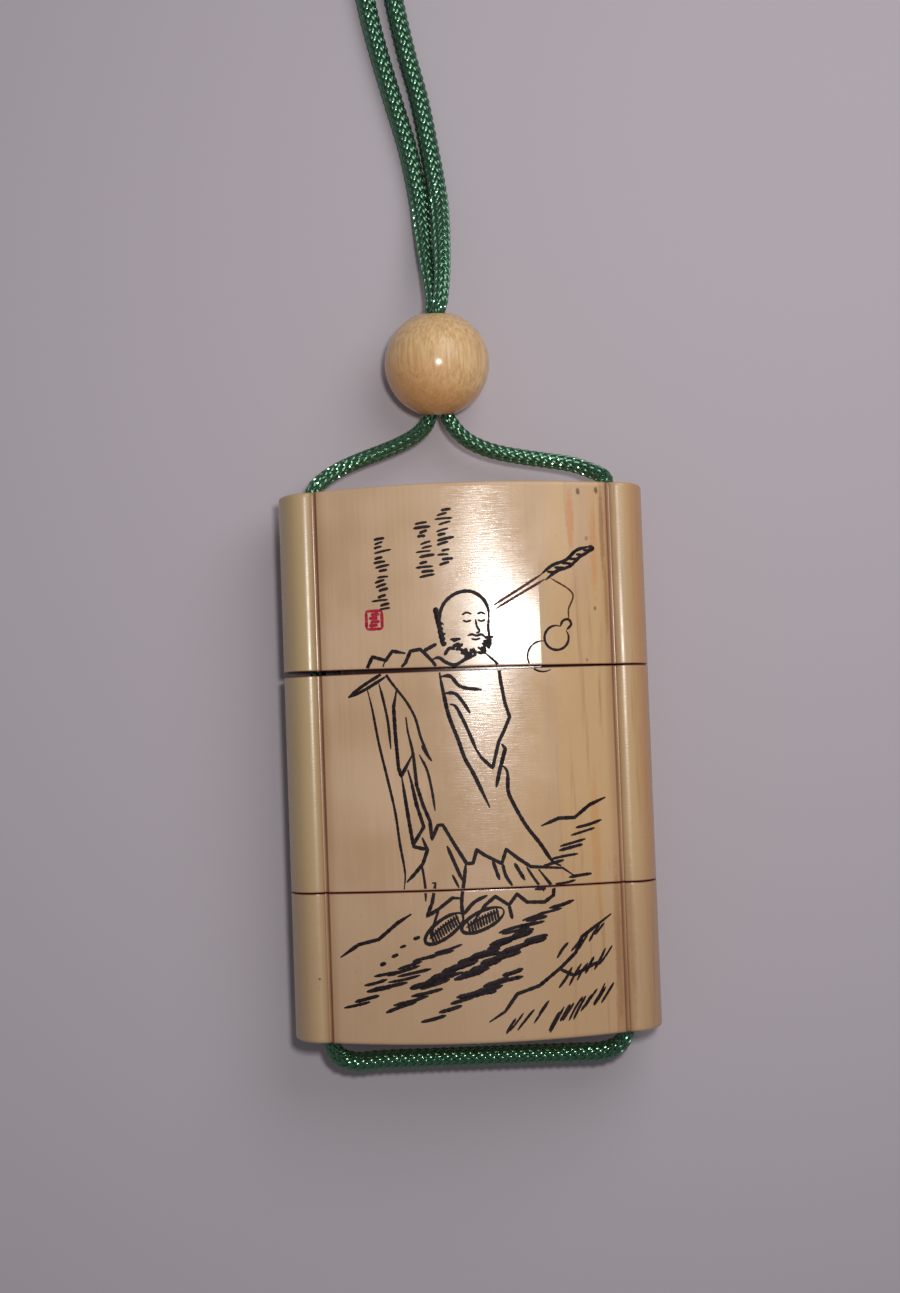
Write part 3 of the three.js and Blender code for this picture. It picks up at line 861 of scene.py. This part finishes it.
def carved(block, tools):
    """The block's mesh once each tool has been added to it or cut from it."""
    for operation, tool in tools:
        modifier = block.modifiers.new(operation.lower(), "BOOLEAN")
        modifier.operation = operation
        modifier.solver = "MANIFOLD"
        modifier.object = tool
    graph = bpy.context.evaluated_depsgraph_get()
    mesh = bpy.data.meshes.new_from_object(block.evaluated_get(graph))
    for item in [block] + [tool for _, tool in tools]:
        old = item.data
        bpy.data.objects.remove(item)
        bpy.data.meshes.remove(old)
    return mesh


def riser(seam_y):
    outline = hollow_outline(RISER_HALF, WALL + RISER_CLEARANCE)
    return "UNION", prism(outline, seam_y - RISER_ROOT, seam_y + RISER_HEIGHT)


def hollow(from_y, to_y):
    outline = hollow_outline(RISER_HALF - RISER_WALL, WALL + RISER_CLEARANCE + RISER_WALL)
    return "DIFFERENCE", prism(outline, from_y, to_y)


def socket(from_y, to_y):
    return "DIFFERENCE", prism(hollow_outline(RISER_HALF + RISER_CLEARANCE, WALL), from_y, to_y)


def channels():
    reach = TOP_Y + OVERRUN
    return [("DIFFERENCE", prism(channel_outline(side), -reach, reach)) for side in (-1, 1)]


def dome(x):
    return TOP_Y - END_DOME * (2 * x / CASE_WIDTH) ** 2


def lid_mouth(x):
    """The lid sits slightly askew: its gap opens towards the left."""
    return LID_MOUTH + LID_AJAR * (0.5 - x / CASE_WIDTH)


LID_MOUTH = SEAM_1 + SEEN_GAP / 2
MIDDLE_TOP = SEAM_1 - SEEN_GAP / 2
MIDDLE_BASE = SEAM_2 + SEEN_GAP / 2
BOTTOM_TOP = SEAM_2 - SEEN_GAP / 2
SOCKET_TOP = SEAM_2 + RISER_HEIGHT + RISER_CLEARANCE

lid_block = section_block("lid_bone", lid_mouth, dome, MOUTH_EDGE, END_EDGE)
lid_mesh = carved(lid_block, [socket(LID_MOUTH - OVERRUN, TOP_Y - END_WALL)] + channels())
middle_block = section_block("middle_bone", lambda x: MIDDLE_BASE, lambda x: MIDDLE_TOP,
                             MOUTH_EDGE, MOUTH_EDGE)
middle_mesh = carved(middle_block, [
    riser(MIDDLE_TOP),
    hollow(SOCKET_TOP + FLOOR_THICKNESS, MIDDLE_TOP + RISER_HEIGHT + OVERRUN),
    socket(MIDDLE_BASE - OVERRUN, SOCKET_TOP),
] + channels())
bottom_block = section_block("bottom_bone", lambda x: -dome(x), lambda x: BOTTOM_TOP,
                             END_EDGE, MOUTH_EDGE)
bottom_mesh = carved(bottom_block, [
    riser(BOTTOM_TOP),
    hollow(-TOP_Y + END_WALL, BOTTOM_TOP + RISER_HEIGHT + OVERRUN),
] + channels())

for piece_name, mesh, node in (("lid_bone", lid_mesh, "lid"),
                               ("middle_bone", middle_mesh, "middle_case"),
                               ("bottom_bone", bottom_mesh, "bottom_case")):
    section = add_piece(piece_name, mesh, BONE, BONE_EDGE)
    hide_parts(node)


# Engraving. A stroke is (points on the front, width). ANGULAR after them keeps its corners.

ANGULAR = True
LINE = 0.66
THIN = 0.48
FACE_LINE = 0.4


def head_strokes():
    """A bearded old man's head in three-quarter view, drawn simply."""
    strokes = [
        ([(-3.5, 18.8), (-3.7, 20.6), (-3.0, 22.6), (-1.2, 24.0), (0.9, 24.2), (2.6, 23.1),
          (3.3, 21.6), (3.35, 20.3)], LINE),
        ([(3.35, 20.3), (3.2, 18.8), (3.3, 17.9), (2.9, 16.9)], THIN),
        ([(-3.1, 19.6), (-3.7, 19.9), (-3.8, 18.9), (-3.3, 18.1), (-2.9, 18.4)], THIN),
        ([(-0.5, 20.9), (0.2, 21.2), (0.9, 20.95)], FACE_LINE),
        ([(1.7, 20.95), (2.3, 21.15), (2.9, 20.85)], FACE_LINE),
        ([(-0.4, 20.1), (0.2, 19.9), (0.85, 20.1)], FACE_LINE),
        ([(1.75, 20.1), (2.3, 19.9), (2.85, 20.1)], FACE_LINE),
        ([(1.45, 20.2), (1.6, 19.2), (1.95, 18.45), (1.4, 18.2)], FACE_LINE),
        ([(0.75, 17.45), (1.4, 17.3), (2.1, 17.5)], FACE_LINE),
        ([(0.2, 17.9), (0.9, 18.05), (1.5, 17.85), (2.2, 18.0), (2.8, 17.6)], THIN),
    ]
    for i in range(7):
        x = -4.05 + 0.13 * i
        y = 22.1 - 0.72 * i
        strokes.append(([(x, y), (x - 0.15, y - 0.6), (x + 0.3, y - 1.2)], 0.95))
    rng = random.Random(3)
    for i in range(30):
        turn = math.radians(194 + 5.4 * i + rng.uniform(-5, 5))
        near, far = 2.0 + rng.uniform(-0.3, 0.5), 3.0 + rng.uniform(-0.3, 0.35)
        x0, y0 = 0.9 + near * math.cos(turn), 17.9 + near * math.sin(turn)
        turn += math.radians(rng.uniform(-14, 14))
        x1, y1 = 0.9 + far * math.cos(turn), 17.9 + far * math.sin(turn)
        middle = ((x0 + x1) / 2 + 0.1, (y0 + y1) / 2)
        strokes.append(([(x0, y0), middle, (x1, y1)], THIN + rng.uniform(0.0, 0.2)))
    return strokes


ROBE = [
    # sleeve and hand at the left
    ([(-14.7, 12.8), (-14.2, 14.0), (-13.5, 15.4), (-11.6, 14.8), (-10.6, 16.1), (-8.7, 15.7)],
     LINE, ANGULAR),
    ([(-11.6, 14.8), (-12.0, 13.9), (-11.4, 12.4), (-10.3, 10.8), (-8.8, 8.7), (-7.7, 6.5), (-6.9, 3.4),
      (-5.6, 0.2)], THIN),
    ([(-9.7, 13.5), (-8.8, 14.3), (-8.0, 16.0), (-6.6, 16.2), (-5.9, 15.5), (-4.9, 14.4), (-4.0, 13.0)],
     LINE, ANGULAR),
    ([(-6.2, 15.9), (-4.2, 16.9)], LINE, ANGULAR),
    # its folds
    ([(-10.2, 10.5), (-10.7, 8.1), (-10.6, 4.4), (-10.3, -0.6), (-9.95, -1.8), (-8.2, 1.3)],
     LINE, ANGULAR),
    ([(-14.4, 10.8), (-13.8, 8.0), (-13.0, 3.0), (-12.0, -1.8), (-11.0, -6.9), (-10.5, -11.3),
      (-9.9, -15.8), (-10.1, -17.9)], THIN),
    ([(-12.7, 11.6), (-12.1, 8.9), (-11.6, 6.1), (-11.3, 2.1)], THIN),
    ([(-9.0, 6.6), (-8.8, 4.5), (-8.3, 2.2), (-8.1, 0.8), (-7.8, -3.2), (-7.0, -6.0), (-6.1, -8.3),
      (-5.9, -10.9), (-5.0, -8.95), (-4.3, -8.9), (-2.7, -11.8), (-1.1, -14.5), (-0.2, -14.5),
      (0.4, -12.6), (1.5, -13.4), (3.9, -14.7), (4.6, -12.7), (6.3, -14.1), (8.0, -15.3), (10.3, -15.5),
      (12.6, -15.7), (14.4, -17.0)], LINE, ANGULAR),
    ([(-9.9, -1.8), (-9.5, -5.0), (-9.1, -8.1), (-8.6, -11.6), (-7.0, -9.1), (-7.9, -6.0), (-8.6, -2.4),
      (-9.0, -0.9)], LINE, ANGULAR),
    ([(-6.9, 2.5), (-6.3, 1.3), (-5.5, 0.2)], THIN),
    ([(-7.3, 1.2), (-6.3, -0.9), (-5.7, -3.7), (-5.3, -6.9)], THIN),
    ([(-7.3, -10.6), (-6.6, -12.4), (-7.3, -14.3), (-8.5, -15.7), (-9.7, -16.9)], LINE, ANGULAR),
    ([(-8.8, -11.8), (-6.8, -12.3)], LINE, ANGULAR),
    # front edge and collar
    ([(-4.0, 13.0), (-3.8, 11.5), (-3.4, 9.2), (-2.9, 6.7), (-1.6, 2.9), (-0.8, 0.4), (0.2, -1.5),
      (1.4, -4.2), (2.5, -6.7)], LINE + 0.06),
    ([(-4.9, 14.7), (-4.0, 14.9), (-3.0, 14.2), (-1.7, 13.8), (-0.1, 14.6), (1.4, 15.1)], LINE),
    ([(-3.2, 15.2), (-2.4, 16.2), (-1.6, 16.0)], LINE),
    ([(2.6, 15.4), (4.1, 14.0), (4.5, 13.4), (4.7, 11.2), (5.2, 8.1), (5.8, 6.1), (4.9, 4.1),
      (4.1, 2.6), (3.1, -1.1), (1.5, 0.5), (0.2, 2.8)], LINE, ANGULAR),
    ([(-3.8, 12.2), (-2.5, 12.2), (-1.1, 10.7), (2.0, 10.1)], LINE),
    ([(-3.4, 9.8), (-1.9, 9.7), (-0.9, 8.6), (0.2, 6.8)], LINE),
    ([(-2.7, 8.2), (-2.0, 8.0), (-1.0, 6.2), (0.1, 3.6), (0.9, 1.6)], LINE),
    ([(4.5, 2.3), (5.0, 1.6), (4.1, -1.4), (3.5, -3.9)], LINE + 0.06, ANGULAR),
    ([(4.3, -0.6), (5.1, -1.5), (5.2, -4.5), (5.8, -6.1), (7.6, -9.5), (9.5, -12.1), (11.3, -14.8),
      (12.4, -15.4)], LINE + 0.04),
    # hem and trousers
    ([(-7.5, -14.3), (-7.1, -17.6), (-7.1, -19.7)], THIN),
    ([(-3.8, -11.9), (-2.8, -14.4), (-1.8, -16.9)], LINE),
    ([(-3.2, -16.0), (-2.3, -17.9)], THIN),
    ([(-1.2, -14.4), (-1.6, -17.2), (-2.0, -19.8), (-1.9, -22.4)], LINE),
    ([(-6.1, -17.1), (-5.6, -17.1), (-6.2, -19.9), (-7.0, -21.8), (-5.3, -20.8), (-3.3, -19.3),
      (-1.8, -19.4)], LINE, ANGULAR),
    ([(-5.2, -20.6), (-6.0, -22.8), (-6.6, -24.8)], THIN),
    ([(2.6, -14.2), (3.5, -17.0)], LINE),
    ([(4.0, -14.7), (4.4, -16.4), (5.3, -17.9)], LINE),
    ([(5.7, -14.7), (7.1, -17.2)], LINE),
    ([(7.4, -15.3), (8.5, -17.1), (9.8, -18.9)], THIN),
    ([(9.1, -15.7), (11.2, -18.5), (11.1, -19.5), (9.8, -20.4), (7.3, -20.3), (5.9, -19.1),
      (4.7, -20.6), (2.8, -19.3), (1.3, -20.5), (-0.6, -23.0)], LINE, ANGULAR),
    ([(-1.9, -21.8), (-0.2, -20.0), (1.7, -19.1)], LINE),
    ([(4.7, -20.6), (5.1, -22.6)], LINE),
]

STAFF_FOOT = (-17.2, 9.7)
STAFF_TOP = (18.6, 30.0)


def staff_strokes():
    """A staff over the shoulder with a bound end, and the string of a gourd."""
    length = math.dist(STAFF_FOOT, STAFF_TOP)
    step_x = (STAFF_TOP[0] - STAFF_FOOT[0]) / length
    step_y = (STAFF_TOP[1] - STAFF_FOOT[1]) / length

    def along(share, off=0.0):
        reach = share * length
        return (STAFF_FOOT[0] + step_x * reach - step_y * off,
                STAFF_FOOT[1] + step_y * reach + step_x * off)

    shaft = [
        ([along(0.60, 0.3), along(0.70, 0.36), along(0.80, 0.5)], THIN),
        ([along(0.60, -0.3), along(0.70, -0.30), along(0.80, -0.35)], THIN),
        ([along(0.82, -0.6), (15.6, 23.4), (14.9, 21.2), (14.9, 19.6)], 0.32),
    ]
    strokes = [
        ([along(0.0), along(0.06, 0.3), along(0.15, 0.35)], 0.6),
        ([along(0.0), along(0.06, -0.3), along(0.15, -0.3)], 0.6),
        ([along(0.995, 0.5), along(1.005, -0.4)], 0.9),
    ]
    for side in (0.55, -0.5):
        strokes.append(([along(0.80, side), along(0.85, side + 0.25), along(0.90, side - 0.1),
                         along(0.95, side + 0.3), along(1.0, side * 0.6)], 0.62))
    for i in range(6):
        share = 0.82 + 0.03 * i
        strokes.append(([along(share, 0.4), along(share + 0.03, -0.4)], 0.5))
    return strokes, shaft


GOURD_CENTRE = (13.0, 17.2)
GOURD_RADIUS = 1.75
RING_CENTRE = (10.9, 14.6)
RING_RADIUS = 2.2


def gourd_strokes():
    """A small gourd with a short neck, and the thin line of its lower bulb across the seam."""
    def arc(centre, radius, first, last):
        turns = [math.radians(first + (last - first) * i / 14) for i in range(15)]
        return [(centre[0] + radius * math.cos(t), centre[1] + radius * math.sin(t)) for t in turns]

    return [
        (arc(GOURD_CENTRE, GOURD_RADIUS, 70, 395), 0.46),
        ([(13.6, 18.8), (14.0, 19.6), (14.8, 19.8), (15.2, 19.1), (14.5, 18.3)], THIN),
        (arc(RING_CENTRE, RING_RADIUS, 80, 300), 0.34),
    ]


def sandal_strokes():
    strokes = []
    for x, y, degrees in ((-4.6, -23.6, 35), (0.9, -22.6, 24)):
        cos, sin = math.cos(math.radians(degrees)), math.sin(math.radians(degrees))

        def put(forward, up):
            return x + forward * cos - up * sin, y + forward * sin + up * cos

        turns = [math.radians(20 * i) for i in range(19)]
        strokes.append(([put(3.3 * math.cos(t), 1.25 * math.sin(t)) for t in turns], LINE))
        for i in range(11):
            lean = put(-2.4 + 0.45 * i, -0.85), put(-2.0 + 0.45 * i, 0.7)
            strokes.append((lean, FACE_LINE + 0.06))
        strokes.append(([put(-2.6, 0.1), put(0, 0.35), put(2.6, 0.1)], FACE_LINE))
    return strokes


ROCK_OUTLINES = [
    [(-19.6, -27.4), (-16.9, -25.6), (-14.0, -24.9), (-11.2, -22.6), (-9.2, -21.4)],
    [(9.7, -9.6), (12.3, -8.6), (14.6, -8.6), (16.8, -6.9), (19.2, -5.9)],
    [(1.3, -37.0), (3.6, -35.6), (5.4, -33.2), (8.6, -32.2), (11.8, -29.8), (14.0, -27.8),
     (15.0, -25.6), (19.4, -22.6)],
    [(11.4, -29.9), (13.6, -31.0), (17.4, -29.2)],
]

# Shading of the ground: (first x, y, last x, y, count, stroke length, width, slope in degrees)
ROCK_SHADING = [
    (-17.6, -33.9, -9.0, -29.6, 6, 3.6, 0.62, 14),
    (-10.8, -34.6, -4.6, -30.6, 5, 3.4, 0.62, 16),
    (-14.6, -30.8, -4.0, -26.2, 7, 3.4, 0.55, 13),
    (-6.4, -36.0, 2.6, -31.2, 6, 3.4, 0.75, 16),
    (-8.4, -31.8, 6.6, -24.4, 13, 3.3, 0.85, 15),
    (-1.4, -30.2, 8.6, -25.6, 9, 3.2, 0.8, 14),
    (0.6, -33.0, 5.4, -30.2, 4, 3.0, 0.7, 14),
    (5.6, -24.2, 12.6, -20.8, 5, 2.9, 0.6, 13),
    (3.6, -25.4, 8.6, -22.2, 4, 2.8, 0.6, 13),
    (9.6, -18.6, 15.0, -16.9, 4, 3.0, 0.55, 8),
    (11.4, -15.3, 16.6, -9.6, 6, 2.8, 0.55, 12),
    (-13.2, -28.6, -8.8, -24.9, 4, 0.9, 0.6, 22),
    (12.6, -27.6, 17.6, -24.6, 5, 2.2, 0.45, 52),
    (13.0, -31.4, 18.4, -28.6, 6, 2.4, 0.45, 56),
    (4.4, -37.6, 9.4, -35.6, 6, 2.4, 0.42, 52),
    (10.8, -37.2, 18.2, -33.6, 11, 2.8, 0.45, 56),
]


def ground_strokes(rng):
    strokes = [(points, LINE, ANGULAR) for points in ROCK_OUTLINES]
    for x0, y0, x1, y1, count, length, width, slope in ROCK_SHADING:
        for i in range(count):
            share = i / (count - 1)
            turn = math.radians(slope + rng.uniform(-4, 4))
            reach = length * rng.uniform(1.0, 1.55) / 2
            x = x0 + (x1 - x0) * share + rng.uniform(-0.6, 0.6)
            y = y0 + (y1 - y0) * share + rng.uniform(-0.3, 0.3)
            dx, dy = math.cos(turn) * reach, math.sin(turn) * reach
            middle = (x + rng.uniform(-0.1, 0.1), y + rng.uniform(-0.12, 0.12))
            strokes.append(([(x - dx, y - dy), middle, (x + dx, y + dy)],
                            width * rng.uniform(0.85, 1.15)))
    return strokes


# Columns of short strokes in the inscription's place: (x, top y, groups, height of a group)
INSCRIPTION = [(-2.6, 36.4, 3, 2.9), (-5.5, 34.6, 3, 2.85), (-11.8, 32.6, 4, 2.75)]
DASHES_IN_GROUP = 4


def inscription_strokes(rng):
    """Rows of short slanted dashes. They touch nowhere, so that they form no sign."""
    strokes = []
    for x, top, groups, size in INSCRIPTION:
        for group in range(groups):
            for k in range(DASHES_IN_GROUP):
                y = top - size * (group + 0.12 + 0.22 * k)
                reach = size * rng.uniform(0.2, 0.46)
                middle = x + size * rng.uniform(-0.14, 0.14)
                rise = rng.uniform(0.02, 0.24)
                dash = [(middle - reach, y - rise), (middle, y + 0.04), (middle + reach, y + rise)]
                strokes.append((dash, rng.uniform(0.38, 0.58)))
    return strokes


SEAL_LOW = (-14.45, 19.1)
SEAL_HIGH = (-11.65, 22.25)


def seal_strokes():
    """A small red square: a solid field with a few short bare gaps in it."""
    (x0, y0), (x1, y1) = SEAL_LOW, SEAL_HIGH
    edge = 0.28
    frame_width = 0.56
    left, right, low, high = x0 + edge, x1 - edge, y0 + edge, y1 - edge
    strokes = [
        ([(left, low), (left, high)], frame_width, ANGULAR),
        ([(right, low), (right, high)], frame_width, ANGULAR),
        ([(left, low), (right, low)], frame_width, ANGULAR),
        ([(left, high), (right, high)], frame_width, ANGULAR),
    ]
    bars = 4
    for i in range(bars):
        y = low + (high - low) * (i + 1) / (bars + 1)
        short = 0.35 + 0.3 * (i % 2)
        strokes.append(([(left + short, y), (right - 0.95 + short, y + 0.03)], 0.62, ANGULAR))
    middle = (left + right) / 2
    strokes.append(([(middle + 0.3, high), (middle + 0.3, high - 1.3)], 0.42, ANGULAR))
    strokes.append(([(middle - 0.4, low), (middle - 0.4, low + 1.2)], 0.42, ANGULAR))
    return strokes


def stroke_line(points, angular, step=0.2):
    flat = [(x, y, 0) for x, y in points]
    if not angular and len(points) > 2:
        return smooth_line(flat, lambda p: step)[:, :2]
    line = []
    for (x0, y0), (x1, y1) in zip(points, points[1:]):
        count = max(1, int(math.dist((x0, y0), (x1, y1)) / step))
        line += [(x0 + (x1 - x0) * i / count, y0 + (y1 - y0) * i / count) for i in range(count)]
    return np.array(line + [points[-1]])


STROKE_LIFT = 0.012
STROKE_ROOT = -0.05
SECTION_SPANS = [
    ("lid", lid_mouth, lambda x: TOP_Y - END_DOME),
    ("middle", lambda x: MIDDLE_BASE, lambda x: MIDDLE_TOP),
    ("bottom", lambda x: END_DOME - TOP_Y, lambda x: BOTTOM_TOP),
]
SPAN_MARGIN = 0.1


def front_point(x, y, lift):
    return x, y, MIDDLE_Z + panel_height(x) + lift


def runs_inside(line, low, high):
    """The stretches of a line that lie in one section. low and high give its ends at an x."""
    run = []
    for place in range(len(line) + 1):
        if place < len(line):
            x, y = line[place]
            inside = low(x) + SPAN_MARGIN <= y <= high(x) - SPAN_MARGIN
        else:
            inside = False
        if inside:
            run.append(place)
        elif run:
            if len(run) > 1:
                yield run
            run = []


def engraving_mesh(name, strokes, low, high, rng):
    points, faces = [], []
    for corners, width, *angular in strokes:
        line = stroke_line(corners, angular)
        heading = unit_rows(np.gradient(line, axis=0))
        share = run_of(line) / run_of(line)[-1]
        taper = np.minimum(1, 0.4 + 4 * np.minimum(share, 1 - share))
        half = width / 2 * taper * np.array([rng.uniform(0.86, 1.1) for _ in line])
        for run in runs_inside(line, low, high):
            offset = len(points)
            for i in run:
                x, y = line[i]
                side_x, side_y = -heading[i][1] * half[i], heading[i][0] * half[i]
                for across, lift in ((1, STROKE_ROOT), (0.8, STROKE_LIFT), (-0.8, STROKE_LIFT),
                                     (-1, STROKE_ROOT)):
                    points.append(front_point(x + side_x * across, y + side_y * across, lift))
            faces += grid_faces(len(run), 4, offset)
            faces.append((offset + 3, offset + 2, offset + 1, offset))
            last = offset + 4 * (len(run) - 1)
            faces.append((last, last + 1, last + 2, last + 3))
    return mesh_from(name, points, faces)


stroke_rng = random.Random(7)
staff, staff_shaft = staff_strokes()
ink_strokes = (head_strokes() + ROBE + staff + gourd_strokes() + sandal_strokes()
               + ground_strokes(stroke_rng) + inscription_strokes(stroke_rng))
for section_name, low, high in SECTION_SPANS:
    engraving = engraving_mesh(section_name + "_engraving", ink_strokes, low, high, stroke_rng)
    add_piece(section_name + "_engraving", engraving, INK, STROKE_EDGE)
shaft_mesh = engraving_mesh("staff_shaft", staff_shaft, *SECTION_SPANS[0][1:], stroke_rng)
add_piece("lid_staff_shaft", shaft_mesh, INK_BROWN, STROKE_EDGE)
seal_mesh = engraving_mesh("seal", seal_strokes(), *SECTION_SPANS[0][1:], stroke_rng)
add_piece("seal", seal_mesh, SEAL_RED, STROKE_EDGE)


# Floor and light

FLOOR_COLOR = srgb(186, 178, 186)
FLOOR_REACH = 2000
WORLD_COLOR = (0.93, 0.95, 1.0, 1.0)
WORLD_STRENGTH = 0.17
# Lights: (name, place, aim, diameter, power, colour). The key stands beside the camera.
LIGHTS = [
    ("key", (CAMERA_PLACE[0] + 24, CAMERA_PLACE[1] + 29, 320), (0, 0, 0), 24, 0.37, (1.0, 0.98, 0.95)),
    ("side", (90, 150, 200), (0, 20, 0), 200, 0.22, (1.0, 0.98, 0.96)),
]


def make_floor():
    n = Nodes("pale_floor")
    n.finish({"Base Color": FLOOR_COLOR, "Roughness": 0.85})
    corners = [(FLOOR_REACH * x, FLOOR_REACH * y, 0) for x, y in ((-1, -1), (1, -1), (1, 1), (-1, 1))]
    mesh = mesh_from("floor", corners, [(0, 1, 2, 3)])
    mesh.materials.append(n.material)
    floor = new_object("floor", mesh)


def make_light(name, place, aim, diameter, power, color):
    data = bpy.data.lights.new(name, "AREA")
    data.shape = "DISK"
    data.size = diameter * MM
    data.energy = power
    data.color = color
    light = new_object(name, data)
    light.location = [v * MM for v in place]
    away = Vector(aim) - Vector(place)
    light.rotation_euler = away.to_track_quat("-Z", "Y").to_euler()


def make_world():
    world = bpy.data.worlds.new("studio")
    world.use_nodes = True
    background = world.node_tree.nodes["Background"]
    background.inputs["Color"].default_value = WORLD_COLOR
    background.inputs["Strength"].default_value = WORLD_STRENGTH
    bpy.context.scene.world = world


make_floor()
make_world()
for light_row in LIGHTS:
    make_light(*light_row)
bpy.context.scene.view_settings.view_transform = "Standard"

bpy.context.view_layer.update()
